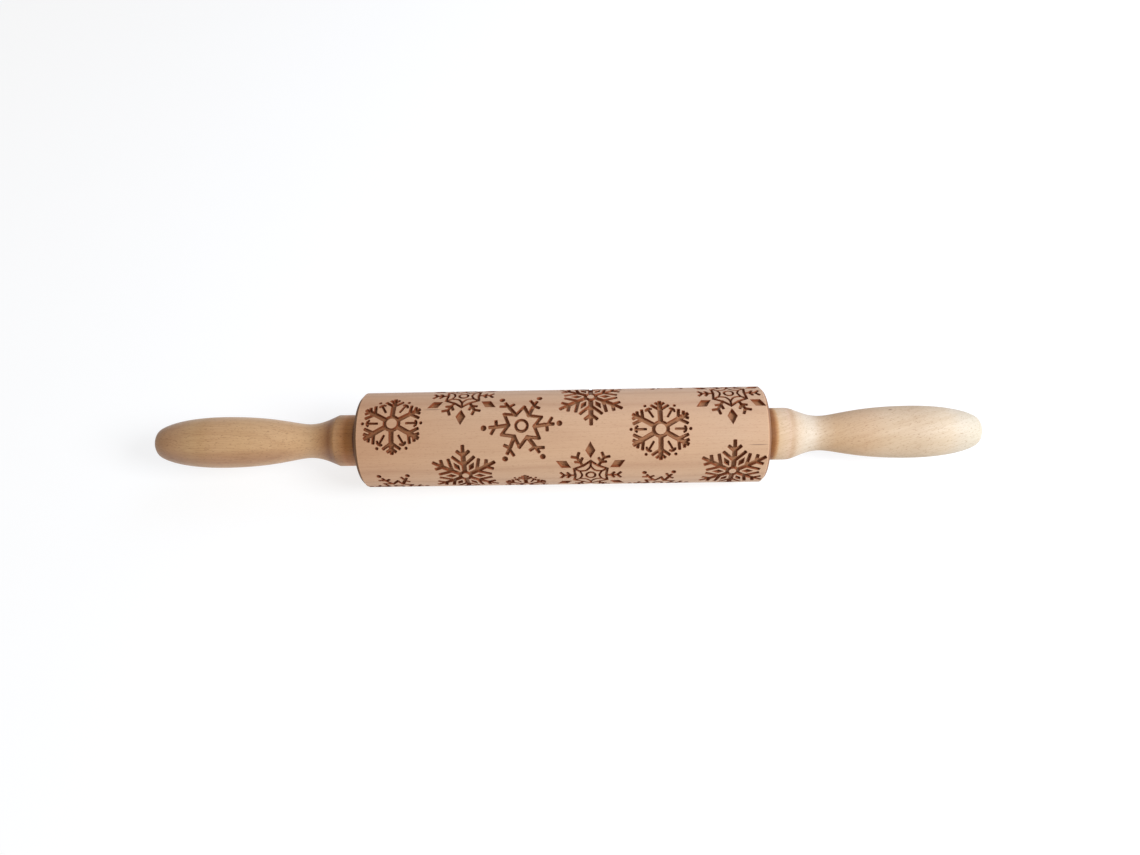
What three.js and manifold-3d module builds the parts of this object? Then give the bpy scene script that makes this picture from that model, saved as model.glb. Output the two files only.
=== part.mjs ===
// Engraved rolling pin. A hardwood barrel cut all round with snow crystals turns on a steel axle
// between two turned handles, so it prints its pattern into rolled dough.
//
// Lengths are millimetres and angles are degrees. The pin lies along X with its left handle at -X,
// +Z is up, and the origin is the middle of the barrel on its own axis. A place on the barrel's
// skin is given by its distance along X and its bearing: 0 faces the front (-Y), 90 faces up.

import * as THREE from 'three';
import { mergeVertices } from 'three/addons/utils/BufferGeometryUtils.js';
import Module from 'manifold-3d';

const wasm = await Module();
wasm.setup();

// Barrel
const barrelDiameter = 45;
const barrelLength = 187;
const barrelEdgeRounding = 1.5;
const barrelBoreDiameter = 11;

// Axle
const axleDiameter = 8;
const axleInset = 45; // how far it goes into each handle
const axleChamfer = 0.8;

// Flanged bushes, one in each end of the barrel
const bushDiameter = 16;
const bushLength = 14; // behind the flange
const bushFlangeDiameter = 20;
const bushFlangeThickness = 1.5;
const bushStandOut = 0.1; // the flange takes the end thrust, not the wood

// Thrust washers, one between each bush and handle
const washerDiameter = 18;
const washerThickness = 0.7;

// Handles, turned from one piece each. Stations are measured from the face of the collar.
const handleLength = 100.4;
const collarDiameter = 24.5;
const collarLength = 11.7;
const collarEdgeRounding = 0.4;
const neckDiameter = 16.3;
const neckStation = 26.2;
const bellyDiameter = 24.5;
const bellyStation = 67.9;
const domeDiameter = 15;
const domeLength = 3; // the blunt end of the handle
const gluePocket = 1; // air left beyond the end of the axle

// Fits
const runningClearance = 0.1; // axle in bush, on the radius
const seatClearance = 0.1; // bush in barrel
const glueClearance = 0.1; // axle in handle, on the radius
const washerClearance = 0.2; // washer over axle, on the radius
const endPlay = 0.15; // on each side of a washer

// Engraving
const engravingDepth = 1.5;
const stemWidth = 2.1; // arms of the anchor and fern crystals
const twigWidth = 1.4; // their side branches
const lineWidth = 1.1; // rings, stars and fine lines
const anchorReach = 14.3; // centre to tip of each crystal
const lozengeReach = 18;
const ringReach = 17; // centre to the middle of its outer dots
const smallRingReach = 13.1;
const smallAnchorReach = 10.4;
const fernReach = 16.6;

// Facets round each turned piece, with a flat at the top and one at the bottom
const facets = 24;
const cutOverrun = 4; // how far cutters pass the wood that they cut

// Worked out from the sizes above
const barrelRadius = barrelDiameter / 2;
const barrelHalf = barrelLength / 2;
const axleRadius = axleDiameter / 2;
const bushFace = barrelHalf + bushStandOut;
const washerFace = bushFace + endPlay;
const collarFace = washerFace + washerThickness + endPlay;
const axleHalf = collarFace + axleInset;

const degrees = THREE.MathUtils.degToRad;

// A place in an axial section: its station along the pin and its distance from the axis.
function section(station, radius) {
  return new THREE.Vector2(radius, station);
}

// Points of a quarter round that goes from one place to another round a centre.
function roundEdge(centre, radius, fromDegrees, toDegrees, steps) {
  const points = [];
  for (let step = 0; step <= steps; step += 1) {
    const angle = degrees(fromDegrees + (toDegrees - fromDegrees) * step / steps);
    const offset = section(Math.cos(angle), Math.sin(angle)).multiplyScalar(radius);
    points.push(centre.clone().add(offset));
  }
  return points;
}

// Points of a turned curve between two places. Each handle of the curve is a pair of shares of the
// way along and of the change in radius.
function turnedCurve(start, end, firstShares, secondShares, steps) {
  const reach = end.clone().sub(start);
  const control = ([alongShare, radiusShare]) =>
    section(alongShare * reach.y, radiusShare * reach.x).add(start);
  const curve = new THREE.CubicBezierCurve(start, control(firstShares), control(secondShares), end);
  return curve.getPoints(steps).slice(1);
}

// Revolves an axial section about the pin's axis.
function turned(points) {
  const halfFacet = Math.PI / facets;
  const geometry = new THREE.LatheGeometry(points, facets, halfFacet);
  geometry.rotateZ(-Math.PI / 2);
  return geometry;
}

// Turns a closed surface into a solid that can be joined and cut.
function solidFrom(geometry) {
  const bare = geometry.index ? geometry.clone() : geometry;
  bare.deleteAttribute('normal');
  bare.deleteAttribute('uv');
  const merged = mergeVertices(bare, cutOverrun * 1e-6);
  return new wasm.Manifold(new wasm.Mesh({
    numProp: 3,
    vertProperties: new Float32Array(merged.attributes.position.array),
    triVerts: new Uint32Array(merged.index.array),
  }));
}

// Turns a solid back into a surface.
function geometryFrom(solid) {
  const mesh = solid.getMesh();
  const geometry = new THREE.BufferGeometry();
  geometry.setAttribute('position', new THREE.BufferAttribute(mesh.vertProperties, 3));
  geometry.setIndex(new THREE.BufferAttribute(mesh.triVerts, 1));
  geometry.computeVertexNormals();
  return geometry;
}

// Flat outlines of the engraving, drawn round each crystal's own centre. A crystal has six like
// sectors, and the middle line of the first runs along +x.
const sectors = 6;
const sectorAngle = 360 / sectors;

function polar(radius, bearing) {
  const angle = degrees(bearing);
  return new THREE.Vector2(radius * Math.cos(angle), radius * Math.sin(angle));
}

// The points of one sector, repeated round the centre.
function allRound(points) {
  const middle = new THREE.Vector2();
  const turns = Array.from({ length: sectors }, (none, sector) => degrees(sectorAngle * sector));
  return turns.flatMap((turn) => points.map((point) => point.clone().rotateAround(middle, turn)));
}

// Six separate copies of a small outline.
function sixOf(points) {
  const ring = allRound(points);
  return Array.from({ length: sectors }, (none, sector) => ({
    outline: ring.slice(sector * points.length, (sector + 1) * points.length),
  }));
}

// Six arms that meet in the middle, each with pairs of twigs. A twig leaves the arm's middle line
// at its root.
function branchedStar(reach, armWidth, twigs) {
  const half = armWidth / 2;
  const crotch = new THREE.Vector2(half / Math.tan(degrees(sectorAngle / 2)), half);
  const upper = [];
  for (const { root, bearing, length, width } of twigs) {
    const slope = degrees(bearing);
    const leaves = root + half / Math.tan(slope);
    const spread = width / 2 / Math.sin(slope);
    const tip = polar(length, bearing).add(new THREE.Vector2(root, 0));
    const corner = polar(width / 2, bearing + 90);
    upper.push(
      new THREE.Vector2(leaves - spread, half),
      tip.clone().add(corner),
      tip.clone().sub(corner),
      new THREE.Vector2(leaves + spread, half),
    );
  }
  upper.push(new THREE.Vector2(reach, half));
  const lower = upper.map((point) => new THREE.Vector2(point.x, -point.y));
  return { outline: allRound([...lower, ...upper.reverse(), crotch]) };
}

// Moves every side of a loop outwards by one distance, with mitred corners.
function grown(loop, distance) {
  return loop.map((point, index) => {
    const before = point.clone().sub(loop.at(index - 1)).normalize();
    const after = loop[(index + 1) % loop.length].clone().sub(point).normalize();
    const along = before.clone().add(after).normalize();
    const outward = new THREE.Vector2(along.y, -along.x);
    return point.clone().addScaledVector(outward, distance / along.dot(before));
  });
}

// An even line round a star, by way of its corners and valleys.
function starBand(cornerRadius, cornerBearing, valleyRadius, valleyBearing, width) {
  const loop = allRound([polar(cornerRadius, cornerBearing), polar(valleyRadius, valleyBearing)]);
  return { outline: grown(loop, width / 2), hole: grown(loop, -width / 2) };
}

// A four-cornered leaf on a bearing, widest part way along.
function leaf(inner, outer, widest, halfWidth, bearing) {
  const corners = [
    new THREE.Vector2(inner, 0),
    new THREE.Vector2(widest, -halfWidth),
    new THREE.Vector2(outer, 0),
    new THREE.Vector2(widest, halfWidth),
  ];
  return corners.map((corner) => corner.rotateAround(new THREE.Vector2(), degrees(bearing)));
}

// Anchor crystal: six arms with a pair of twigs each, well out along the arm.
const anchorTwigShares = { root: 0.62, length: 0.38 };
const anchorTwigBearing = 58;

function anchorCrystal(reach) {
  return [branchedStar(reach, stemWidth, [{
    root: anchorTwigShares.root * reach,
    bearing: anchorTwigBearing,
    length: anchorTwigShares.length * reach,
    width: twigWidth,
  }])];
}

// Lozenge crystal: a six-pointed star line with a solid lozenge off each corner.
const lozengeShares = {
  starCorner: 0.483,
  starValley: 0.36,
  lozengeInner: 0.572,
  lozengeWidest: 0.786,
  lozengeHalf: 0.122,
};

function lozengeCrystal(reach) {
  const size = (share) => share * reach;
  return [
    starBand(size(lozengeShares.starCorner), 0, size(lozengeShares.starValley), sectorAngle / 2,
      lineWidth),
    ...sixOf(leaf(size(lozengeShares.lozengeInner), reach, size(lozengeShares.lozengeWidest),
      size(lozengeShares.lozengeHalf), 0)),
  ];
}

// Ring crystal: a twisted star line with a loose spot off each of its points.
const ringShares = {
  starCorner: 0.576,
  starValley: 0.347,
  spotHalf: 0.08,
};
const ringCornerTwist = 25;
const ringValleyTwist = 56;

function ringCrystal(reach) {
  const size = (share) => share * reach;
  const spot = size(ringShares.spotHalf);
  return [
    starBand(size(ringShares.starCorner), ringCornerTwist, size(ringShares.starValley),
      ringValleyTwist, lineWidth),
    ...sixOf(leaf(reach - spot, reach + spot, reach, spot, 0)),
  ];
}

// Fern crystal: six arms with a pair of long swept twigs each, closer in.
const fernTwigShares = { root: 0.42, length: 0.46 };
const fernTwigBearing = 45;

function fernCrystal(reach) {
  return [branchedStar(reach, stemWidth, [{
    root: fernTwigShares.root * reach,
    bearing: fernTwigBearing,
    length: fernTwigShares.length * reach,
    width: twigWidth,
  }])];
}

// Where each crystal sits: its outlines, the share of the barrel's half length, its bearing round
// the barrel, and how far its first arm is turned from pointing along the barrel.
const anchor = anchorCrystal(anchorReach);
const lozenge = lozengeCrystal(lozengeReach);
const ring = ringCrystal(ringReach);
const smallRing = ringCrystal(smallRingReach);
const smallAnchor = anchorCrystal(smallAnchorReach);
const fern = fernCrystal(fernReach);
const crystalShares = [
  [anchor, -0.813, 77, 30],
  [smallRing, -0.824, -19, 0],
  [smallRing, -0.82, 172, 0],
  [anchor, -0.813, -106, 30],
  [lozenge, -0.481, 120, 30],
  [fern, -0.471, 9, 30],
  [lozenge, -0.477, -114, 30],
  [ring, -0.186, 72, 2],
  [smallAnchor, -0.181, -18, 30],
  [anchor, -0.18, 178, 30],
  [smallRing, -0.176, -96, 30],
  [fern, 0.146, 113, 30],
  [lozenge, 0.141, 7, 30],
  [fern, 0.144, -114, 30],
  [anchor, 0.477, 66, 30],
  [smallRing, 0.475, -19, 0],
  [smallRing, 0.523, 163, 0],
  [anchor, 0.477, -112, 30],
  [lozenge, 0.819, 115, 30],
  [fern, 0.827, 11, 30],
  [lozenge, 0.82, -114, 30],
];

// Stands one flat outline up as a cutter that passes through the barrel's skin.
function wrappedCutter({ outline, hole }, turn, along, bearing) {
  const depth = engravingDepth + 2 * cutOverrun;
  const shape = new THREE.Shape(outline);
  if (hole) {
    shape.holes.push(new THREE.Path(hole));
  }
  const geometry = new THREE.ExtrudeGeometry(shape, { depth, bevelEnabled: false });
  geometry.rotateZ(degrees(turn));
  const position = geometry.attributes.position;
  for (let index = 0; index < position.count; index += 1) {
    const angle = degrees(bearing) + position.getY(index) / barrelRadius;
    const radius = barrelRadius + cutOverrun - depth + position.getZ(index);
    position.setXYZ(
      index,
      along + position.getX(index),
      -radius * Math.cos(angle),
      radius * Math.sin(angle),
    );
  }
  return solidFrom(geometry);
}

// All the wood that the engraver burns away.
function engraving() {
  const cutters = crystalShares.flatMap(([outlines, alongShare, bearing, turn]) =>
    outlines.map((flat) => wrappedCutter(flat, turn, alongShare * barrelHalf, bearing)));
  const core = solidFrom(turned([
    section(-barrelHalf - cutOverrun, 0),
    section(-barrelHalf - cutOverrun, barrelRadius - engravingDepth),
    section(barrelHalf + cutOverrun, barrelRadius - engravingDepth),
    section(barrelHalf + cutOverrun, 0),
  ]));
  return wasm.Manifold.union(cutters).subtract(core);
}

// One end of the barrel's section, from its bore out to its rounded edge, at +X or at -X.
function barrelEnd(hand) {
  const seat = bushDiameter / 2 + seatClearance;
  const recess = bushFlangeDiameter / 2 + seatClearance;
  const seatFloor = barrelHalf - bushFlangeThickness - bushLength - seatClearance;
  const recessFloor = barrelHalf - bushFlangeThickness;
  const edge = section(barrelHalf - barrelEdgeRounding, barrelRadius - barrelEdgeRounding);
  const points = [
    section(seatFloor, barrelBoreDiameter / 2),
    section(seatFloor, seat),
    section(recessFloor, seat),
    section(recessFloor, recess),
    section(barrelHalf, recess),
    ...roundEdge(edge, barrelEdgeRounding, 0, 90, 2),
  ];
  return points.map((point) => section(hand * point.y, point.x));
}

function barrelGeometry() {
  const left = barrelEnd(-1);
  const right = barrelEnd(1).reverse();
  const blank = solidFrom(turned([...left, ...right, left[0]]));
  return geometryFrom(blank.subtract(engraving()));
}

function axleGeometry() {
  return turned([
    section(-axleHalf, 0),
    section(-axleHalf, axleRadius - axleChamfer),
    section(-axleHalf + axleChamfer, axleRadius),
    section(axleHalf - axleChamfer, axleRadius),
    section(axleHalf, axleRadius - axleChamfer),
    section(axleHalf, 0),
  ]);
}

function bushGeometry() {
  const bore = axleRadius + runningClearance;
  const back = bushFace - bushFlangeThickness;
  return turned([
    section(back - bushLength, bore),
    section(back - bushLength, bushDiameter / 2),
    section(back, bushDiameter / 2),
    section(back, bushFlangeDiameter / 2),
    section(bushFace, bushFlangeDiameter / 2),
    section(bushFace, bore),
    section(back - bushLength, bore),
  ]);
}

function washerGeometry() {
  const bore = axleRadius + washerClearance;
  return turned([
    section(washerFace, bore),
    section(washerFace, washerDiameter / 2),
    section(washerFace + washerThickness, washerDiameter / 2),
    section(washerFace + washerThickness, bore),
    section(washerFace, bore),
  ]);
}

const coveShares = [[0.29, 0.45], [0.6, 1]];
const swellShares = [[0.17, 0], [0.4, 1]];
const noseShares = [[0.44, 0], [0.81, 0.37]];
const domeShares = [[0.6, 0.13], [1, 0.33]];

function handleGeometry() {
  const bore = axleRadius + glueClearance;
  const boreEnd = axleHalf + gluePocket;
  const tip = collarFace + handleLength;
  const collarEnd = section(collarFace + collarLength, collarDiameter / 2);
  const neck = section(collarFace + neckStation, neckDiameter / 2);
  const belly = section(collarFace + bellyStation, bellyDiameter / 2);
  const dome = section(tip - domeLength, domeDiameter / 2);
  const edge = section(collarFace + collarEdgeRounding, collarDiameter / 2 - collarEdgeRounding);
  return turned([
    section(boreEnd, 0),
    section(boreEnd, bore),
    section(collarFace, bore),
    ...roundEdge(edge, collarEdgeRounding, 180, 90, 2),
    collarEnd,
    ...turnedCurve(collarEnd, neck, ...coveShares, 4),
    ...turnedCurve(neck, belly, ...swellShares, 5),
    ...turnedCurve(belly, dome, ...noseShares, 4),
    ...turnedCurve(dome, section(tip, 0), ...domeShares, 4),
  ]);
}

// Finishes
function finish(color, roughness, metalness) {
  return new THREE.MeshStandardMaterial({ color, roughness, metalness });
}

const pin = new THREE.Group();

function add(name, geometry, material, turnedRound) {
  const mesh = new THREE.Mesh(geometry, material);
  mesh.name = name;
  mesh.rotation.z = turnedRound ? Math.PI : 0;
  pin.add(mesh);
}

add('barrel', barrelGeometry(), finish('#cfa989', 0.62, 0), false);
add('axle_rod', axleGeometry(), finish('#b9bcc0', 0.3, 1), false);
for (const [side, turnedRound] of [['left', true], ['right', false]]) {
  add(`${side}_bush`, bushGeometry(), finish('#e8e6df', 0.45, 0), turnedRound);
  add(`${side}_washer`, washerGeometry(), finish('#a9acb0', 0.35, 1), turnedRound);
  add(`${side}_handle`, handleGeometry(), finish('#dcbb8a', 0.5, 0), turnedRound);
}

export default pin;
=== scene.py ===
# %% [markdown]
# # An engraved rolling pin
#
# The pin is a beech barrel, burnt all round with snow crystals, that turns on a steel axle between
# two turned handles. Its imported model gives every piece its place, so this lesson only dresses it.
# Lengths are worked out in millimetres and turned to metres once, as each mesh is made.

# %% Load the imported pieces
import math

import bpy
import numpy as np
from mathutils import Matrix, Vector
from mathutils.geometry import delaunay_2d_cdt


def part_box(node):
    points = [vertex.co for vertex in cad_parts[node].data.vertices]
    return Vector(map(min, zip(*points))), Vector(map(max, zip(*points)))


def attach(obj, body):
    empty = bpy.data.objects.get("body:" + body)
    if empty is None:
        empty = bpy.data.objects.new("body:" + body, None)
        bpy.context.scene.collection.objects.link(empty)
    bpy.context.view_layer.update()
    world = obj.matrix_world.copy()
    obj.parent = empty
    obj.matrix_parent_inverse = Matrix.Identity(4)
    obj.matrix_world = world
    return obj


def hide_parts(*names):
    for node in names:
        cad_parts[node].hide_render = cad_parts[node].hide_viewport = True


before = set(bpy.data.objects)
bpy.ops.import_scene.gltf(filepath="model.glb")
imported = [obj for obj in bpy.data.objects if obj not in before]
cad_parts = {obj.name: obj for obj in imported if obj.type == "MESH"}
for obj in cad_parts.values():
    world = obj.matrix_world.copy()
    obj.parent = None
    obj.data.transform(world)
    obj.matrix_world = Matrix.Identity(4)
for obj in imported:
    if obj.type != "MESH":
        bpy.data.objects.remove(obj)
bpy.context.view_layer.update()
MM = 0.001
print("pieces:", ", ".join(sorted(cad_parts)))

# %% [markdown]
# ## Camera
#
# The pin was photographed from close by, so its ends bulge towards the edges of the picture. How
# strongly they bulge gives the camera's distance, which was fitted to the outline of the barrel.
# The camera's height is free, because a turned piece looks the same from all round its axis, so
# it looks down steeply enough for the table top to fill the background.

# %% Place the camera
PHOTO_WIDTH = 1140
PHOTO_HEIGHT = 855
AXIS_ROW = 437.0  # pixel row where the pin's axis crosses the middle of the photograph
FOCAL_PIXELS = 713.5
SENSOR_MM = 36.0
CAMERA_DISTANCE_MM = 340.0
CAMERA_SIDE_MM = 3.6  # to the right of the middle of the barrel
CAMERA_ELEVATION = math.radians(58.0)
CAMERA_YAW = math.radians(-1.55)  # the right end is a little nearer
CAMERA_ROLL = math.radians(0.91)  # and a little higher in the picture

along = Vector((1.0, 0.0, 0.0))
toward = Vector((0.0, -math.cos(CAMERA_ELEVATION), math.sin(CAMERA_ELEVATION)))
above = Vector((0.0, math.sin(CAMERA_ELEVATION), math.cos(CAMERA_ELEVATION)))
right = along * math.cos(CAMERA_YAW) + toward * math.sin(CAMERA_YAW)
back = toward * math.cos(CAMERA_YAW) - along * math.sin(CAMERA_YAW)
stand = (right * CAMERA_SIDE_MM + back * CAMERA_DISTANCE_MM) * MM
rolled_right = right * math.cos(CAMERA_ROLL) - above * math.sin(CAMERA_ROLL)
rolled_up = above * math.cos(CAMERA_ROLL) + right * math.sin(CAMERA_ROLL)

camera_data = bpy.data.cameras.new("photo_camera")
camera_data.sensor_width = SENSOR_MM
camera_data.lens = SENSOR_MM * FOCAL_PIXELS / PHOTO_WIDTH
camera_data.shift_y = (AXIS_ROW - PHOTO_HEIGHT / 2) / PHOTO_WIDTH
camera_data.clip_start = 0.01
camera = bpy.data.objects.new("photo_camera", camera_data)
bpy.context.scene.collection.objects.link(camera)
turn = Matrix((rolled_right, rolled_up, back)).transposed().to_4x4()
camera.matrix_world = Matrix.Translation(stand) @ turn
bpy.context.scene.camera = camera
print("lens", round(camera_data.lens, 2), "mm, stands at", [round(v, 3) for v in stand])

# %% [markdown]
# ## Tools for shapes
#
# Every piece of the pin is turned on a lathe, so one helper revolves a profile about X. A profile
# is a list of stations along the pin and radii there. Where it runs towards +X its skin faces away
# from the axis, and where it runs back, as down a bore, the skin faces the axis.

# %% Turning on a lathe
ROUND_STEPS = 144  # fine enough that no facet shows on the widest piece


def on_skin(station, radius, bearing):
    """A point by its bearing round the pin: 0 is the front and 90 degrees the top."""
    return np.array([station, -radius * math.cos(bearing), radius * math.sin(bearing)])


def turned(profile, first_bearing=0.0, loop=False):
    """Corners and faces of a turned skin. A loop closes its profile on itself."""
    step = 2 * math.pi / ROUND_STEPS
    corners, rings = [], []
    for station, radius in profile:
        count = ROUND_STEPS if radius > 0 else 1
        start = len(corners)
        corners += [on_skin(station, radius, first_bearing + k * step) for k in range(count)]
        rings.append([start + k % count for k in range(ROUND_STEPS + 1)])
    following = rings[1:] + rings[:1] if loop else rings[1:]
    faces = []
    for near, far in zip(rings, following):
        for k in range(ROUND_STEPS):
            faces.append(list(dict.fromkeys([near[k], far[k], far[k + 1], near[k + 1]])))
    return corners, faces


SHARP_ANGLE = math.radians(35.0)


def make_piece(name, corners, faces):
    """A shown object with smooth faces that meet sharply at edges."""
    mesh = bpy.data.meshes.new(name)
    mesh.from_pydata([Vector(c) * MM for c in corners], [], faces)
    mesh.validate()
    mesh.shade_smooth()
    mesh.set_sharp_from_angle(angle=SHARP_ANGLE)
    piece = bpy.data.objects.new(name, mesh)
    bpy.context.scene.collection.objects.link(piece)
    print(name, len(mesh.vertices), "corners", len(mesh.polygons), "faces")
    return piece


def rounded_corner(centre, radius, from_degrees, to_degrees, steps):
    """Places on a quarter round of a profile, as (station, radius)."""
    angles = np.radians(np.linspace(from_degrees, to_degrees, steps + 1))
    return [(centre[0] + radius * math.sin(a), centre[1] + radius * math.cos(a)) for a in angles]


print("a full turn has", ROUND_STEPS, "steps")

# %% [markdown]
# ## Drawing with distances
#
# The crystals are burnt in by a laser that follows a flat drawing. They could be drawn as curves
# and joined with booleans, but where many strokes meet, those leave slivers. Here each stroke is a
# function instead, which gives any point its distance to the stroke's edge, less than zero inside.
# The smallest of many distances joins the strokes cleanly, and the same drawing also tells how
# far a point is from the nearest edge, which gives the walls their slope and the scorch its width.

# %% Strokes
SOFT_SHARE = 0.28  # corner rounding of a stroke, as a share of its width


def to_line(points, start, end):
    """Distance from each point to a straight line between two places."""
    start, end = np.array(start, float), np.array(end, float)
    run = end - start
    share = np.clip((points - start) @ run / (run @ run), 0, 1)
    return np.hypot(*(points - start - share[:, None] * run).T)


def bar(start, end, width):
    """A straight stroke that starts on another's middle line and has a blunt, softened tip."""
    start, end = np.array(start, float), np.array(end, float)
    length = math.dist(start, end)
    ahead = (end - start) / length
    rooted = start - ahead * width / 2
    soft = width * SOFT_SHARE

    def distance(points):
        offset = points - (rooted + end) / 2
        beside = np.abs(offset @ np.array([-ahead[1], ahead[0]])) - width / 2 + soft
        beyond = np.abs(offset @ ahead) - (length + width / 2) / 2 + soft
        outside = np.hypot(np.maximum(beside, 0), np.maximum(beyond, 0))
        return outside + np.minimum(np.maximum(beside, beyond), 0) - soft

    return distance


def hoop(radius, width):
    """A ring round the crystal's centre."""
    return lambda points: np.abs(np.hypot(*points.T) - radius) - width / 2


def spot(centre, radius):
    """A round dot."""
    return lambda points: np.hypot(*(points - np.array(centre)).T) - radius


def lozenge(inner, outer, widest, half_width):
    """A four-cornered leaf that points away from the centre."""
    sides = [((inner, 0), (widest, half_width)), ((widest, half_width), (outer, 0))]

    def distance(points):
        folded = np.column_stack([points[:, 0], np.abs(points[:, 1])])
        nearest = np.min([to_line(folded, *side) for side in sides], axis=0)
        over = [(folded - np.array(s)) @ np.array([s[1] - e[1], e[0] - s[0]]) for s, e in sides]
        return np.where(np.max(over, axis=0) < 0, -nearest, nearest)

    return distance


print("strokes: bar, hoop, spot, lozenge")

# %% [markdown]
# ## Six like arms
#
# A snow crystal repeats one sixth of itself. Its strokes could be copied six times over, but it is
# less work to turn each point back into the one sixth that is drawn, six times, and to keep the
# smallest distance. Chains of strokes and places given by their bearing help with the drawing.

# %% From strokes to a crystal
SECTOR_DEGREES = 60


def polyline(places, width):
    """Straight strokes from place to place."""
    return [bar(start, end, width) for start, end in zip(places, places[1:])]


def polar(radius, bearing):
    """A place on the drawing by its distance and bearing from the crystal's centre."""
    angle = math.radians(bearing)
    return (radius * math.cos(angle), radius * math.sin(angle))


def turned_back(points, degrees):
    """The same points, measured in a frame that is turned by an angle round the origin."""
    angle = math.radians(degrees)
    cosine, sine = math.cos(angle), math.sin(angle)
    return points @ np.array([[cosine, -sine], [sine, cosine]])


def crystal(sector, centre_strokes):
    """One distance to a sector's strokes repeated six times, and to strokes round the centre."""

    def distance(points):
        nearest = np.min([stroke(points) for stroke in centre_strokes], axis=0)
        for bearing in range(0, 360, SECTOR_DEGREES):
            local = turned_back(points, bearing)
            nearest = np.minimum(nearest, np.min([stroke(local) for stroke in sector], axis=0))
        return nearest

    return distance


print("a sector takes up", SECTOR_DEGREES, "degrees")

# %% [markdown]
# ## Four snow crystals
#
# Each drawing holds one arm, which lies along the first bearing, and what stands between two arms,
# 30 degrees on. All sizes are measured on the barrel's skin. Twigs come as (root along the arm,
# tip along the arm, tip to the side, width).

# %% Draw the crystals
BETWEEN_DEGREES = SECTOR_DEGREES // 2


def twigs(*sizes):
    """A pair of like twigs for each size."""
    return [
        bar((root, 0), (tip, hand * side), width)
        for root, tip, side, width in sizes
        for hand in (-1, 1)
    ]


def turned_stroke(stroke, bearing):
    """The same stroke, turned round the crystal's centre."""
    return lambda points: stroke(turned_back(points, bearing))


def anchor_crystal():
    """Plain arms round a raised hub, with a small anchor and a dot between each two."""
    arm = [bar((3.6, 0), (11.6, 0), 2.2), bar((11.0, 0), (14.4, 0), 1.7)]
    pairs = twigs((9.0, 11.9, 4.1, 1.4), (11.6, 13.3, 2.2, 1.4))
    shank = bar((6.7, 0), (10.9, 0), 1.0)
    flukes = polyline([(10.4, -1.35), (11.05, -0.8), (11.25, 0), (11.05, 0.8), (10.4, 1.35)], 0.95)
    anchor = [shank, *flukes, spot((13.2, 0), 0.68)]
    between = [turned_stroke(stroke, BETWEEN_DEGREES) for stroke in anchor]
    return crystal([*arm, *pairs, *between], [hoop(3.2, 1.5)])


def lozenge_crystal():
    """A curved star in a larger one, with solid lozenges on its points and sprigs between."""
    bowed = [polar(5.8, 0), polar(4.75, 9), polar(4.1, 20), polar(3.95, 30)]
    bowed += [polar(4.1, 40), polar(4.75, 51), polar(5.8, 60)]
    star = polyline([polar(8.7, 0), polar(7.0, 30), polar(8.7, 60)], 1.1)
    spoke = bar((5.8, 0), (8.7, 0), 1.0)
    solid = lozenge(10.2, 17.9, 13.9, 2.2)
    sprig = [bar((7.2, 0), (12.5, 0), 1.3), *twigs((9.2, 10.9, 2.2, 1.25), (12.0, 13.9, 2.2, 1.3))]
    between = [turned_stroke(stroke, BETWEEN_DEGREES) for stroke in sprig]
    return crystal([*polyline(bowed, 0.9), *star, spoke, solid, *between], [hoop(2.05, 1.0)])


def ring_crystal():
    """A twisted star round a ring, with uneven twigs that make it spin and loose dots."""
    star = [polar(5.75, -6), polar(9.7, 22), polar(5.75, 54)]
    arm = [bar(polar(6.0, -5), (11.0, 0), 1.75), bar((10.4, 0), (14.8, 0.1), 1.5)]
    long_twig = bar((11.8, 0), (13.9, 3.4), 1.4)
    short_twig = bar((11.3, 0), (11.4, -3.2), 1.45)
    return crystal([*polyline(star, 1.45), *arm, long_twig, short_twig, spot((17.0, 0.3), 1.25)],
                   [hoop(2.6, 1.2)])


def fern_crystal():
    """Swept twigs close together like a frond, with lozenges near the hub."""
    arm = [bar((2.9, 0), (12.4, 0), 2.15), bar((11.8, 0), (16.4, 0), 1.65)]
    fronds = twigs((6.3, 11.0, 5.15, 1.5), (11.2, 13.7, 3.0, 1.55))
    kite = turned_stroke(lozenge(4.0, 9.2, 6.5, 1.25), BETWEEN_DEGREES)
    return crystal([*arm, *fronds, kite], [hoop(2.4, 1.5)])


print("kinds of crystal: anchor, lozenge, ring, fern")

# %% [markdown]
# ## Smaller crystals
#
# Two of the four are also burnt smaller, where a full one would touch its neighbours. A drawing is
# only a function, so all of it shrinks at once. Every drawing is kept together with its reach,
# which is half the side of a square that it surely fits in.

# %% The set of drawings
WIDENING_MM = 0.15  # added to the strokes of the smaller crystals, which would be too fine to burn


def smaller(drawing, share):
    """The same drawing at a share of its size."""
    return lambda points: drawing(points / share) * share - WIDENING_MM / 2


DRAWINGS = {
    "anchor": (anchor_crystal(), 15.5),
    "small_anchor": (smaller(anchor_crystal(), 0.73), 11.8),
    "lozenge": (lozenge_crystal(), 19.0),
    "ring": (ring_crystal(), 19.5),
    "small_ring": (smaller(ring_crystal(), 0.775), 15.5),
    "fern": (fern_crystal(), 17.7),
}
print("drawn:", ", ".join(DRAWINGS))

# %% [markdown]
# ## From distances to outlines
#
# An outline joins the points that lie at one distance. It is found on a fine grid: where two
# neighbours lie on either side of that distance, the outline crosses between them, and the
# crossings of each square join up into loops. This is known as marching squares.

# %% Trace a drawing's outlines
GRID_MM = 0.16


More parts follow.
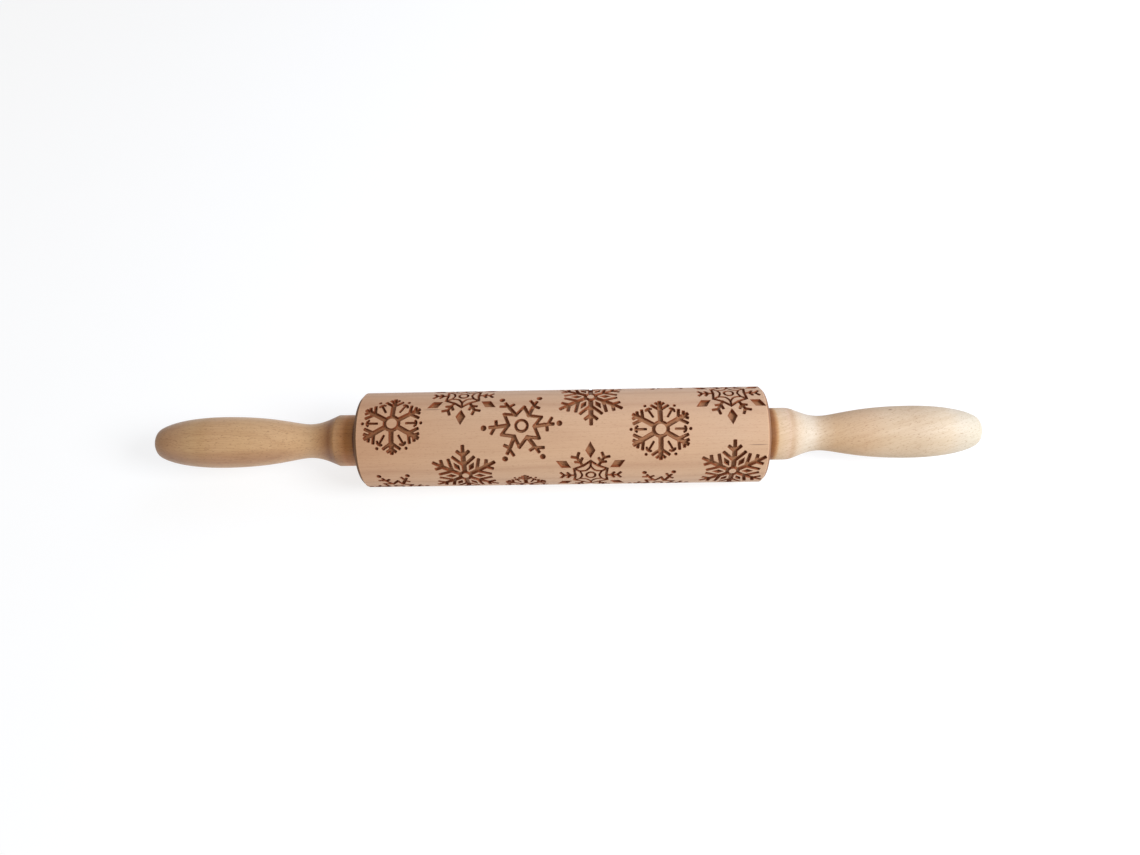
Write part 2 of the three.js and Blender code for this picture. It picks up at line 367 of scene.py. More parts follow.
def trace(drawing, reach, level):
    """Closed loops of points where a drawing's distance is the level."""
    count = round(2 * reach / GRID_MM) + 1
    ticks = np.linspace(-reach, reach, count)
    columns, rows = np.meshgrid(ticks, ticks, indexing="ij")
    points = np.column_stack([columns.ravel(), rows.ravel()])
    field = drawing(points).reshape(count, count) - level
    inside = field < 0

    # Only squares with corners on both sides of the outline are looked at.
    mixed = (inside[:-1, :-1] != inside[1:, 1:]) | (inside[1:, :-1] != inside[:-1, 1:])
    mixed |= inside[:-1, :-1] != inside[1:, :-1]
    links = {}
    for i, j in np.argwhere(mixed):
        square = [(i, j), (i + 1, j), (i + 1, j + 1), (i, j + 1)]
        sides = [(square[k - 1], square[k]) for k in range(4)]
        crossed = [tuple(sorted(side)) for side in sides if inside[side[0]] != inside[side[1]]]
        # Four crossings can be joined in two ways. The middle of the square tells which is right.
        if len(crossed) == 4 and (sum(field[c] for c in square) < 0) == inside[square[0]]:
            crossed = crossed[1:] + crossed[:1]
        for first, second in zip(crossed[::2], crossed[1::2]):
            links.setdefault(first, []).append(second)
            links.setdefault(second, []).append(first)

    loops = []
    while links:
        side, loop = next(iter(links)), []
        while side in links:
            ways = links.pop(side)
            low, high = field[side[0]], field[side[1]]
            low_place, high_place = ticks[np.array(side)]
            loop.append(low_place + low / (low - high) * (high_place - low_place))
            side = next((way for way in ways if way in links), None)
        loops.append(np.array(loop))
    return loops


print("outlines are traced on a grid of", GRID_MM, "mm")

# %% [markdown]
# ## Fewer points, shorter edges
#
# Tracing leaves a point at every line of the grid, far more than a drawing of bars and bows needs.
# So each loop is thinned, and a straight edge keeps few points. Long edges are then split again,
# so that they can bend round the barrel. Each drawing is traced three times: where the scorch
# ends, at the edge of the cut, and at the foot of its wall.

# %% Outlines of every drawing
THINNING_MM = 0.012
LONGEST_EDGE_MM = 2.0


def thinned(run):
    """Drops the points that lie close to the straight line between those that are kept."""
    if len(run) < 3:
        return run
    gaps = to_line(run, run[0], run[-1])
    widest = int(np.argmax(gaps))
    if gaps[widest] < THINNING_MM:
        return run[[0, -1]]
    return np.vstack([thinned(run[:widest + 1])[:-1], thinned(run[widest:])])


def tidy_loop(loop):
    """A thinned loop whose edges are short enough to bend round the barrel."""
    far = int(np.argmax(np.hypot(*(loop - loop[0]).T)))
    closed = np.vstack([loop, loop[:1]])
    kept = np.vstack([thinned(closed[:far + 1])[:-1], thinned(closed[far:])])
    places = []
    for start, end in zip(kept, kept[1:]):
        parts = math.ceil(math.dist(start, end) / LONGEST_EDGE_MM)
        places += [start + (end - start) * k / parts for k in range(parts)]
    return np.array(places)


SCORCH_MM = 0.25  # how far the scorch reaches past the edge of a cut
WALL_RUN_MM = 0.28  # how far the wall of a cut leans in on its way down
LEVELS = (SCORCH_MM, 0.0, -WALL_RUN_MM)
OUTLINES = {
    kind: [tidy_loop(loop) for level in LEVELS for loop in trace(drawing, reach, level)]
    for kind, (drawing, reach) in DRAWINGS.items()
}
for kind, loops in OUTLINES.items():
    print(kind, len(loops), "loops", sum(len(loop) for loop in loops), "points")

# %% [markdown]
# ## Where the crystals sit
#
# The laser fills the barrel with staggered columns of crystals. Those that the photograph shows
# have their measured places. Round the back the columns go on at the same spacing. Each row gives
# the kind, the distance along the barrel from its middle, the bearing round it and the turn.

# %% Places round the barrel
PLACES = (
    ("anchor", -76.0, 77.2, 30),
    ("small_ring", -77.1, -18.9, 0),
    ("small_ring", -76.7, 172.0, 0),
    ("anchor", -76.0, -106.0, 30),
    ("lozenge", -45.0, 119.6, 30),
    ("fern", -44.0, 9.2, 30),
    ("lozenge", -44.6, -114.0, 30),
    ("ring", -17.4, 71.9, 2),
    ("small_anchor", -16.9, -18.0, 30),
    ("anchor", -16.8, 178.0, 30),
    ("small_ring", -16.5, -96.0, 30),
    ("fern", 13.7, 112.6, 30),
    ("lozenge", 13.2, 6.9, 30),
    ("fern", 13.5, -114.0, 30),
    ("anchor", 44.6, 65.5, 30),
    ("small_ring", 44.4, -18.7, 0),
    ("small_ring", 48.9, 163.0, 0),
    ("anchor", 44.6, -112.0, 30),
    ("lozenge", 76.6, 115.1, 30),
    ("fern", 77.3, 10.5, 30),
    ("lozenge", 76.7, -114.0, 30),
)
BARREL_RADIUS = 22.5
BARREL_HALF = round(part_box("barrel")[1].x / MM, 1)
RIM_BEVEL = 1.5  # along the pin and inwards alike
ENGRAVING_DEPTH = 1.5
print("barrel", 2 * BARREL_HALF, "mm long,", len(PLACES), "crystals")

# %% [markdown]
# ## Unrolling the skin
#
# Flat drawings go on a flat skin, so the barrel's is unrolled like the label of a tin and rolled up
# again once it is cut. The seam winds between the crystals, because a cut across it would be hard
# to close. Over the bevels of the rims the strip runs on at their slant, and a crystal that
# reaches a bevel still keeps its shape when it is seen from the side.

# %% Seam, bevels and places on the strip
SEAM = np.array([  # (along, bearing) pairs
    (-92.0, -60.0), (-76.0, -62.0), (-45.0, -51.0), (-17.0, -52.0),
    (13.5, -55.0), (44.5, -63.0), (77.0, -50.0), (92.0, -60.0),
])
GIRTH = 2 * math.pi * BARREL_RADIUS
STRAIGHT_HALF = BARREL_HALF - RIM_BEVEL
SLANT = math.sqrt(2)  # a millimetre along the pin is this long on the bevel
STRIP_HALF = STRAIGHT_HALF + RIM_BEVEL * SLANT


def seam_height(distance_along):
    """How high up the strip the seam lies, in millimetres of skin."""
    return BARREL_RADIUS * np.radians(np.interp(distance_along, *SEAM.T))


def along_strip(station):
    """The place on the strip, which runs on over the bevels, of a station along the pin."""
    past = np.clip(np.abs(station) - STRAIGHT_HALF, 0, RIM_BEVEL)
    return station + np.sign(station) * past * (SLANT - 1)


def past_straight(strip_station):
    """How far along the pin a place on the strip lies beyond the straight part."""
    return np.clip((np.abs(strip_station) - STRAIGHT_HALF) / SLANT, 0, RIM_BEVEL)


def along_pin(strip_station):
    """The station along the pin of a place on the strip."""
    past = past_straight(strip_station)
    bent = np.sign(strip_station) * (STRAIGHT_HALF + past)
    return np.where(past > 0, bent, strip_station)


def placed(local, place):
    """Points of a drawing, laid on the strip."""
    _, station, bearing, turn_degrees = place
    height = BARREL_RADIUS * math.radians(bearing)
    height += GIRTH * math.ceil((seam_height(station) - height) / GIRTH)
    return turned_back(local, -turn_degrees) + np.array([station, height])


print("the strip is", round(2 * STRIP_HALF, 1), "mm long and", round(GIRTH, 1), "mm wide")

# %% [markdown]
# ## The strip
#
# Between the crystals the strip needs only a plain grid of points, in rows across the barrel. Two
# helpers serve it: one measures how far any place is from the nearest cut, and one adds points
# that are joined in a row, as on a border or an outline.

# %% Rows and helpers of the strip
ROW_MM = 2.3
BEVEL_STEPS = 2
CLEAR_MM = 0.45
FAR_MM = 2.0  # stands for every distance that is too large to matter
SAME_POINT_MM = 1e-5

edge_rows = np.linspace(STRAIGHT_HALF, STRIP_HALF, BEVEL_STEPS + 1)[1:]
middle_rows = np.linspace(-STRAIGHT_HALF, STRAIGHT_HALF, round(2 * STRAIGHT_HALF / ROW_MM) + 1)
rows = np.concatenate([-edge_rows[::-1], middle_rows, edge_rows])


def cut_distance(strip_points):
    """Distance from each point of the strip to the edge of the nearest cut."""
    flat = np.column_stack([along_pin(strip_points[:, 0]), strip_points[:, 1]])
    nearest = np.full(len(flat), FAR_MM)
    for place in PLACES:
        kind, _, _, turn_degrees = place
        drawing, reach = DRAWINGS[kind]
        centre = placed(np.zeros((1, 2)), place)[0]
        close = np.abs(flat - centre).max(axis=1) < reach
        local = turned_back(flat[close] - centre, turn_degrees)
        nearest[close] = np.minimum(nearest[close], drawing(local))
    return nearest


strip_points, strip_edges = [], []


def add_line(points, closed):
    """Adds points that are joined in a row."""
    first = len(strip_points)
    strip_points.extend(points)
    last = len(strip_points) - 1
    strip_edges.extend((k, k + 1) for k in range(first, last))
    if closed:
        strip_edges.append((last, first))


print(len(rows), "rows of points")

# %% [markdown]
# ## Joining the points
#
# The border, the grid and all outlines are put on the strip. Grid points close to an outline are
# left out, so that no sliver is made. A constrained Delaunay triangulation then joins the points
# and keeps every outline as an edge. It also fills the hollows of the winding border, and those
# triangles are dropped.

# %% Lay out the strip's points and triangles
round_steps = np.arange(ROUND_STEPS + 1) / ROUND_STEPS * GIRTH
low_seam = np.column_stack([rows, seam_height(rows)])
high_seam = low_seam + np.array([0, GIRTH])
left_end = np.column_stack([np.full(ROUND_STEPS + 1, rows[0]), low_seam[0, 1] + round_steps])
right_end = np.column_stack([np.full(ROUND_STEPS + 1, rows[-1]), low_seam[-1, 1] + round_steps])
add_line(np.vstack([low_seam, right_end[1:-1], high_seam[::-1], left_end[1:-1][::-1]]), True)

grid = np.vstack([
    np.column_stack([np.full(ROUND_STEPS - 1, row), seam_height(row) + round_steps[1:-1]])
    for row in rows[1:-1]
])
distance = cut_distance(grid)
clear = np.min([np.abs(distance - level) for level in LEVELS], axis=0) > CLEAR_MM
strip_points.extend(grid[clear])

for place in PLACES:
    for loop in OUTLINES[place[0]]:
        outline = placed(loop, place)
        outline[:, 0] = along_strip(outline[:, 0])
        add_line(outline, True)

flat_points, _, flat_faces, *_ = delaunay_2d_cdt(
    [Vector(p) for p in strip_points], strip_edges, [], 0, SAME_POINT_MM, False,
)
flat_points = np.array(flat_points)
flat_faces = np.array(flat_faces)
middles = flat_points[flat_faces].mean(axis=1)
rise = middles[:, 1] - seam_height(middles[:, 0])
flat_faces = flat_faces[(rise > 0) & (rise < GIRTH)]
print(len(strip_points), "points,", len(flat_faces), "triangles; seam clears the cuts by",
      round(float(cut_distance(low_seam).min()), 2), "mm or more")

# %% [markdown]
# ## The barrel
#
# The strip is rolled up and bent down over the bevelled rims. A point that lies inside the inner
# outline goes down to the floor of the cut, and the triangles between the two outlines become its
# leaning walls. The ends, with their seats for the bushes, and the bore are turned, and their
# edges meet the strip's point for point.
#
# Each corner also keeps how burnt it is: 0 for bare wood, 0.5 at the lip of a cut and 1 on its
# floor. The wood's material reads that as an attribute named burn.

# %% Roll up the strip and close it with turned ends
LIP = 0.5
floor_level = -WALL_RUN_MM / 2
distance = cut_distance(flat_points)
on_floor = distance < floor_level
burn = np.select([on_floor, distance < SCORCH_MM / 2], [1.0, LIP], 0.0)

station = along_pin(flat_points[:, 0])
skin_radius = BARREL_RADIUS - past_straight(flat_points[:, 0])
floor_radius = np.minimum(skin_radius, BARREL_RADIUS - ENGRAVING_DEPTH)
radius = np.where(on_floor, floor_radius, skin_radius)
bearing = flat_points[:, 1] / BARREL_RADIUS
skin_corners = np.column_stack([station, -radius * np.cos(bearing), radius * np.sin(bearing)])

BORE_RADIUS = 5.5
SEAT_RADIUS = 8.1  # for the body of a bush
RECESS_RADIUS = 10.1  # for its flange
RECESS_DEPTH = 1.5
SEAT_DEPTH = 15.6

right_profile = [
    (BARREL_HALF, BARREL_RADIUS - RIM_BEVEL),
    (BARREL_HALF, RECESS_RADIUS),
    (BARREL_HALF - RECESS_DEPTH, RECESS_RADIUS),
    (BARREL_HALF - RECESS_DEPTH, SEAT_RADIUS),
    (BARREL_HALF - SEAT_DEPTH, SEAT_RADIUS),
    (BARREL_HALF - SEAT_DEPTH, BORE_RADIUS),
]
left_profile = [(-place, size) for place, size in reversed(right_profile)]
end_bearing = float(seam_height(rows[0])) / BARREL_RADIUS
end_corners, end_faces = turned(right_profile + left_profile, end_bearing)

corners = np.vstack([skin_corners, end_corners])
WELD_MM = 1e-3
_, kept, welded = np.unique(
    np.round(corners / WELD_MM).astype(int), axis=0, return_index=True, return_inverse=True,
)
welded = welded.ravel()
faces = [[int(welded[c]) for c in face] for face in flat_faces]
skin_count = len(faces)
faces += [[int(welded[c + len(skin_corners)]) for c in face] for face in end_faces]
barrel = make_piece("engraved_barrel", corners[kept], faces)

all_burn = np.concatenate([burn, np.zeros(len(end_corners))])[kept]
barrel.data.attributes.new("burn", "FLOAT", "POINT").data.foreach_set("value", all_burn)
print("engraved share of the skin's corners:", round(float(on_floor.mean()), 2))

# %% [markdown]
# Long thin triangles would catch the light unevenly if their shading came from their own slopes.
# On the skin and on the floors the true direction is known, so each face is given it. The walls
# and the turned ends keep the shading that Blender works out, which a zero direction asks for.

# %% Give the skin its true shading
level_face = on_floor[flat_faces].sum(axis=1) % 3 == 0
middle_station = flat_points[flat_faces, 0].mean(axis=1)
tilted = np.where(np.abs(middle_station) > STRAIGHT_HALF, np.sign(middle_station), 0.0)[:, None]
outward = bearing[flat_faces]
facing = np.dstack([tilted + 0 * outward, -np.cos(outward), np.sin(outward)])
facing /= np.linalg.norm(facing, axis=2, keepdims=True)
shading = np.zeros((skin_count, 3, 3))
shading[level_face] = facing[level_face]
loop_shading = np.zeros((len(barrel.data.loops), 3))
loop_shading[:3 * skin_count] = shading.reshape(-1, 3)
barrel.data.normals_split_custom_set(loop_shading.tolist())
print("faces shaded by the round of the barrel:", int(level_face.sum()))

# %% [markdown]
# ## The handles
#
# Each handle is one piece of beech, turned to a collar, a waisted neck, a long belly for the palm
# and a blunt nose. The curves between those stations are cubic ones, as a turner's eye would
# sweep them, with their control places given as shares of the way along and of the change in
# radius. The bore for the axle runs in from the collar's face.

# %% Turn the handles
COLLAR_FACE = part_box("right_handle")[0].x / MM
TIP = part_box("right_handle")[1].x / MM
AXLE_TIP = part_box("axle_rod")[1].x / MM
COLLAR_RADIUS = 12.25
COLLAR_END = COLLAR_FACE + 11.7
COLLAR_ROUNDING = 0.4
CREST_ROUNDING = {"left": 0.8, "right": 12.0}  # the right collar was sanded softer at its end
CREST_DEGREES = 23.7  # how steeply the neck leaves the collar
NECK = (COLLAR_FACE + 26.2, 8.15)
BELLY = (COLLAR_FACE + 67.9, 12.25)
NOSE = (TIP - 3.0, 7.5)
HANDLE_BORE = 4.1
GLUE_POCKET = 1.0
CURVE_STEPS = 24
CREST_STEPS = 6
EDGE_STEPS = 4


def swept(start, end, first_shares, second_shares):
    """Places on the cubic curve from one place of a profile to the next."""
    start, end = np.array(start), np.array(end)
    run = end - start
    controls = [start, start + first_shares * run, start + second_shares * run, end]
    weights = (1, 3, 3, 1)
    places = []
    for step in range(1, CURVE_STEPS + 1):
        share = step / CURVE_STEPS
        parts = [w * share ** k * (1 - share) ** (3 - k) for k, w in enumerate(weights)]
        places.append(tuple(sum(part * c for part, c in zip(parts, controls))))
    return places


def handle_profile(crest_rounding):
    """Stations and radii of a right handle from its bore to its tip."""
    collar_edge = (COLLAR_FACE + COLLAR_ROUNDING, COLLAR_RADIUS - COLLAR_ROUNDING)
    setback = crest_rounding * math.tan(math.radians(CREST_DEGREES / 2))
    crest_centre = (COLLAR_END - setback, COLLAR_RADIUS - crest_rounding)
    crest = rounded_corner(crest_centre, crest_rounding, 0, CREST_DEGREES, CREST_STEPS)
    return [
        (AXLE_TIP + GLUE_POCKET, 0),
        (AXLE_TIP + GLUE_POCKET, HANDLE_BORE),
        (COLLAR_FACE, HANDLE_BORE),
        *rounded_corner(collar_edge, COLLAR_ROUNDING, -90, 0, EDGE_STEPS),
        *crest,
        *swept(crest[-1], NECK, (0.29, 0.45), (0.6, 1)),
        *swept(NECK, BELLY, (0.17, 0), (0.4, 1)),
        *swept(BELLY, NOSE, (0.44, 0), (0.81, 0.37)),
        *swept(NOSE, (TIP, 0), (0.6, 0.13), (1, 0.33)),
    ]


right_handle_profile = handle_profile(CREST_ROUNDING["right"])
left_handle_profile = [
    (-place, size) for place, size in reversed(handle_profile(CREST_ROUNDING["left"]))
]
handles = {
    "left": make_piece("turned_handle_left", *turned(left_handle_profile)),
    "right": make_piece("turned_handle_right", *turned(right_handle_profile)),
}

# %% [markdown]
# ## Axle, bushes and washers
#
# The handles are glued to one steel rod, so they turn together while the barrel runs free. A
# flanged nylon bush in each end of the barrel carries it on the rod, and a steel washer keeps
# it off each handle. All of them are turned too. Little of them shows, in the gaps beside the
# barrel, but a light that falls into those gaps has to find the right surfaces there.

# %% Turn the axle, bushes and washers
AXLE_RADIUS = 4.0
AXLE_CHAMFER = 0.8
BUSH_BORE = 4.1
BUSH_RADIUS = 8.0
BUSH_FLANGE_RADIUS = 10.0
BUSH_FLANGE = 1.5
BUSH_EASING = 0.25
WASHER_BORE = 4.2
WASHER_RADIUS = 9.0
WASHER_EASING = 0.12

bush_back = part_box("right_bush")[0].x / MM
bush_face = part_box("right_bush")[1].x / MM
washer_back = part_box("right_washer")[0].x / MM
washer_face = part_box("right_washer")[1].x / MM

axle_profile = [
    (-AXLE_TIP, 0),
    (-AXLE_TIP, AXLE_RADIUS - AXLE_CHAMFER),
    (-AXLE_TIP + AXLE_CHAMFER, AXLE_RADIUS),
    (AXLE_TIP - AXLE_CHAMFER, AXLE_RADIUS),
    (AXLE_TIP, AXLE_RADIUS - AXLE_CHAMFER),
    (AXLE_TIP, 0),
]
bush_profile = [
    (bush_back, BUSH_BORE),
    (bush_back, BUSH_RADIUS - BUSH_EASING),
    (bush_back + BUSH_EASING, BUSH_RADIUS),
    (bush_face - BUSH_FLANGE, BUSH_RADIUS),
    (bush_face - BUSH_FLANGE, BUSH_FLANGE_RADIUS),
    (bush_face - BUSH_EASING, BUSH_FLANGE_RADIUS),
    (bush_face, BUSH_FLANGE_RADIUS - BUSH_EASING),
    (bush_face, BUSH_BORE),
]
washer_profile = [
    (washer_back, WASHER_BORE),
    (washer_back, WASHER_RADIUS - WASHER_EASING),
    (washer_back + WASHER_EASING, WASHER_RADIUS),
    (washer_face - WASHER_EASING, WASHER_RADIUS),
    (washer_face, WASHER_RADIUS - WASHER_EASING),
    (washer_face, WASHER_BORE),
]
axle = make_piece("steel_axle", *turned(axle_profile))
bushes, washers = {}, {}
for name, hand in (("left", -1), ("right", 1)):
    for kind, profile, made in (
        ("nylon_bush", bush_profile, bushes), ("steel_washer", washer_profile, washers),
    ):
        sided = [(hand * place, size) for place, size in profile][::hand]
        made[name] = make_piece(f"{kind}_{name}", *turned(sided, loop=True))

# %% [markdown]
# ## Tools for materials
#
# A finish is a small network of nodes. One helper adds a node with its settings and links, and one
# turns the hex colours that a maker would note down into the linear values that light works in.

# %% Colours and nodes
MIX_FACTOR, MIX_FIRST, MIX_SECOND, MIX_RESULT = 0, 6, 7, 2  # a Mix node's sockets for colour


def linear(hex_colour):
    """The linear red, green, blue and alpha of an sRGB colour such as '#d8b48f'."""
    shades = [int(hex_colour[k:k + 2], 16) / 255 for k in (1, 3, 5)]
    return (*[s / 12.92 if s <= 0.04045 else ((s + 0.055) / 1.055) ** 2.4 for s in shades], 1.0)


def add_node(tree, kind, inputs=None, stops=(), **settings):
    """Adds a node. An input takes a value or another node's socket, and stops fill a ramp."""
    node = tree.nodes.new(kind)
    for key, value in settings.items():
        setattr(node, key, value)
    for key, value in (inputs or {}).items():
        if isinstance(value, bpy.types.NodeSocket):
            tree.links.new(value, node.inputs[key])
        else:
            node.inputs[key].default_value = value
    for index, (place, shade) in enumerate(stops):
        ramp = node.color_ramp.elements
        stop = ramp[index] if index < len(ramp) else ramp.new(place)
        stop.position, stop.color = place, shade
    return node


def new_material(name):
    """An empty node material with its tree."""
    material = bpy.data.materials.new(name)
    material.use_nodes = True
    material.node_tree.nodes.clear()
    return material, material.node_tree


print("wood at '#d8b48f' is", [round(v, 3) for v in linear("#d8b48f")])

# %% [markdown]
# ## Beech
#
# Beech is pale, pinkish and even. Its year rings are faint, fine fibres run along the piece, and
# its rays show as thousands of short brown flecks, which is how the eye knows beech from maple.
# The grain here is solid: rings round a pith that lies outside the piece, so turning cuts them
# into the arcs, stripes and flames of the real thing, and the end grain agrees with the sides.
# Fibres, flecks and slow changes of tone are the same kind of noise, stretched along the piece
# by different lengths.

# %% Grain that all the wooden pieces share
FIBRE_MM = (18.0, 0.5)  # length and width; real fibres are ten times finer and wouldn't show
RAY_MM = (1.4, 0.38)
TONE_MM = (55.0, 13.0)
WANDER_MM = (80.0, 2.0)  # how far along, and how far aside, the rings stray
FLECK_RANGE = (0.60, 0.72)  # only the peaks of their noise show as flecks
NOISE_RANGE = (0.3, 0.7)  # nearly all values of a noise lie in here


def stretched_noise(tree, place, size_mm, detail):
    """Noise from 0 to 1 with the given length along the pin and width across it."""
    length, width = size_mm
    stretched = add_node(
        tree, "ShaderNodeMapping",
        {"Vector": place, "Scale": (1 / (length * MM), 1 / (width * MM), 1 / (width * MM))},
    ).outputs["Vector"]
    return add_node(
        tree, "ShaderNodeTexNoise", {"Vector": stretched, "Scale": 1.0, "Detail": detail},
    ).outputs["Fac"]


def beech_grain(tree, pith_mm, ring_mm, lean_degrees):
    """Sockets from 0 to 1 for the rings, fibres, flecks and tone of one piece of beech."""
    place = add_node(tree, "ShaderNodeTexCoord").outputs["Object"]
    leaned = add_node(
        tree, "ShaderNodeMapping",
        {"Vector": place, "Rotation": (0, *[math.radians(v) for v in lean_degrees]),
         "Location": [-v * MM for v in pith_mm]},
    ).outputs["Vector"]

    stray = add_node(
        tree, "ShaderNodeTexNoise",
        {"Vector": leaned, "Scale": 1 / (WANDER_MM[0] * MM), "Detail": 2.0},
    ).outputs["Color"]
    aside = (0, 2 * WANDER_MM[1] * MM, 2 * WANDER_MM[1] * MM)
    strayed = add_node(
        tree, "ShaderNodeVectorMath", {0: stray, 1: aside, 2: leaned}, operation="MULTIPLY_ADD",
    ).outputs["Vector"]
    across = add_node(
        tree, "ShaderNodeVectorMath", {0: strayed, 1: (0, 1, 1)}, operation="MULTIPLY",
    ).outputs["Vector"]
    from_pith = add_node(
        tree, "ShaderNodeVectorMath", {0: across}, operation="LENGTH",
    ).outputs["Value"]
    years = add_node(
        tree, "ShaderNodeMath", {0: from_pith, 1: 1 / (ring_mm * MM)}, operation="MULTIPLY",
    ).outputs["Value"]
    rings = add_node(
        tree, "ShaderNodeTexNoise", {"W": years, "Scale": 1.0, "Detail": 3.0, "Roughness": 0.6},
        noise_dimensions="1D",
    ).outputs["Fac"]

    fibres = stretched_noise(tree, leaned, FIBRE_MM, 4.0)
    rays = stretched_noise(tree, leaned, RAY_MM, 1.0)
    flecks = add_node(
        tree, "ShaderNodeMapRange",
        {"Value": rays, "From Min": FLECK_RANGE[0], "From Max": FLECK_RANGE[1]},
        interpolation_type="SMOOTHSTEP",
    ).outputs["Result"]
    return rings, fibres, flecks, stretched_noise(tree, leaned, TONE_MM, 2.0)


print("fibres drawn", FIBRE_MM[1], "mm wide, flecks", RAY_MM[0], "mm long")

# %% [markdown]
# ## The colour of a board
#
# A board has a pale and a warm tone, which change slowly from place to place. The late wood of a
# year darkens its rings and fibres, and the rays are darker still. Here the grain's sockets serve
# as masks: each one mixes in a further colour, as strongly as that board asks for.

# %% Colour of the grain


def beech_colour(tree, grain, pale, warm, late, fleck, strengths):
    """Mixes the grain's sockets into one colour. Strengths are for rings, fibres and flecks."""
    rings, fibres, flecks, tone = grain
    colour = add_node(
        tree, "ShaderNodeMix",
        {MIX_FACTOR: tone, MIX_FIRST: linear(pale), MIX_SECOND: linear(warm)}, data_type="RGBA",
    ).outputs[MIX_RESULT]
    for mask, low, high, shade, strength in (
        (rings, 0.42, 0.72, late, strengths[0]),
        (fibres, 0.48, 0.75, late, strengths[1]),
        (flecks, 0.0, 1.0, fleck, strengths[2]),
    ):
        share = add_node(
            tree, "ShaderNodeMapRange",
            {"Value": mask, "From Min": low, "From Max": high, "To Max": strength},
        ).outputs["Result"]
        colour = add_node(
            tree, "ShaderNodeMix",
            {MIX_FACTOR: share, MIX_FIRST: colour, MIX_SECOND: linear(shade)}, data_type="RGBA",
        ).outputs[MIX_RESULT]
    return colour


print("a board's colour is mixed from a pale, a warm, a late and a fleck tone")

# %% [markdown]
# ## Tints and marks
#
# Some tones don't follow the grain: painted shadow beside a gap, painted shade in a cove,
# painted highlight at a neck, a knot, a crack. One helper tints a piece by bands along the pin,
# and can make their edges as ragged as fibres leave them. Another draws one mark in the shape
# of an egg, round or long. Both work in solid space like the grain, so neither needs an image or
# an unwrapped skin.

# %% Bands and marks
SOLID_SHARE = 0.5  # a mark is at full strength over this share of its size, then fades


def toned(tree, colour, start_mm, hand, ragged_mm, stops):
    """Tints a colour by the distance along the pin from a start. Stops are (distance, tint)."""
    span = stops[-1][0]
    shift = ragged_mm / 2 / span
    place = add_node(tree, "ShaderNodeTexCoord").outputs["Object"]
    station = add_node(tree, "ShaderNodeSeparateXYZ", {0: place}).outputs["X"]
    far = start_mm + hand * span
    share = add_node(
        tree, "ShaderNodeMapRange",
        {"Value": station, "From Min": start_mm * MM, "From Max": far * MM,
         "To Min": -shift, "To Max": 1 - shift},
    ).outputs["Result"]
    ragged = stretched_noise(tree, place, FIBRE_MM, 2.0)
    strayed = add_node(
        tree, "ShaderNodeMath", {0: ragged, 1: 2 * shift, 2: share}, operation="MULTIPLY_ADD",
    ).outputs["Value"]
    tint = add_node(
        tree, "ShaderNodeValToRGB", {"Fac": strayed},
        stops=[(distance / span, linear(shade)) for distance, shade in stops],
    ).outputs["Color"]
    return add_node(
        tree, "ShaderNodeMix", {MIX_FACTOR: 1.0, MIX_FIRST: colour, MIX_SECOND: tint},
        data_type="RGBA", blend_type="MULTIPLY",
    ).outputs[MIX_RESULT]


def marked(tree, colour, centre_mm, half_sizes_mm, shade, strength, blend="MIX"):
    """Draws one mark into a colour. MULTIPLY lets the grain show through it."""
    place = add_node(tree, "ShaderNodeTexCoord").outputs["Object"]
    local = add_node(
        tree, "ShaderNodeMapping",
        {"Vector": place, "Location": [v * MM for v in centre_mm],
         "Scale": [v * MM for v in half_sizes_mm]},
        vector_type="TEXTURE",
    ).outputs["Vector"]
    away = add_node(tree, "ShaderNodeVectorMath", {0: local}, operation="LENGTH").outputs["Value"]
    share = add_node(
        tree, "ShaderNodeMapRange",
        {"Value": away, "From Min": SOLID_SHARE, "From Max": 1.0,
         "To Min": strength, "To Max": 0.0},
    ).outputs["Result"]
    return add_node(
        tree, "ShaderNodeMix", {MIX_FACTOR: share, MIX_FIRST: colour, MIX_SECOND: linear(shade)},
        data_type="RGBA", blend_type=blend,
    ).outputs[MIX_RESULT]


print("edges of bands are ragged over fibres", FIBRE_MM[0], "mm long")

# %% [markdown]
# ## Gloss and relief
#
# Sanded wood isn't quite smooth: hard fibres stand up and the rays leave pores, both by a few
# hundredths of a millimetre. That is too fine for the mesh, so bump carries it. The fibres that
# stand up scatter more light, so they are a little duller than the wood between them. A coat of
# oil adds a second, softer shine, and bare wood has none.

# %% Surface of the wooden pieces
RELIEF_MM = 0.05  # how far the fibres stand up
RELIEF_STRENGTH = 0.35
WOOD_IOR = 1.5


def wood_surface(tree, colour, grain, roughness, coat, specular=0.5, sheen=0.0):
    """Ends a wooden finish: its gloss, and fibres and pores that stand in relief."""
    _, fibres, flecks, _ = grain
    raised = add_node(
        tree, "ShaderNodeBump",
        {"Strength": RELIEF_STRENGTH, "Distance": RELIEF_MM * MM, "Height": fibres},
    ).outputs["Normal"]
    pitted = add_node(
        tree, "ShaderNodeBump",
        {"Strength": RELIEF_STRENGTH, "Distance": RELIEF_MM * MM, "Height": flecks,
         "Normal": raised},
        invert=True,
    ).outputs["Normal"]
    gloss = add_node(
        tree, "ShaderNodeMapRange",
        {"Value": fibres, "From Min": NOISE_RANGE[0], "From Max": NOISE_RANGE[1],
         "To Min": roughness - 0.05, "To Max": roughness + 0.08},
    ).outputs["Result"]
    shader = add_node(
        tree, "ShaderNodeBsdfPrincipled",
        {"Base Color": colour, "Roughness": gloss, "Normal": pitted, "IOR": WOOD_IOR,
         "Specular IOR Level": specular, "Coat Weight": coat, "Coat Roughness": 0.4,
         "Sheen Weight": sheen, "Sheen Roughness": 0.5},
    )
    add_node(tree, "ShaderNodeOutputMaterial", {"Surface": shader.outputs["BSDF"]})


print("fibres stand up by", RELIEF_MM, "mm")
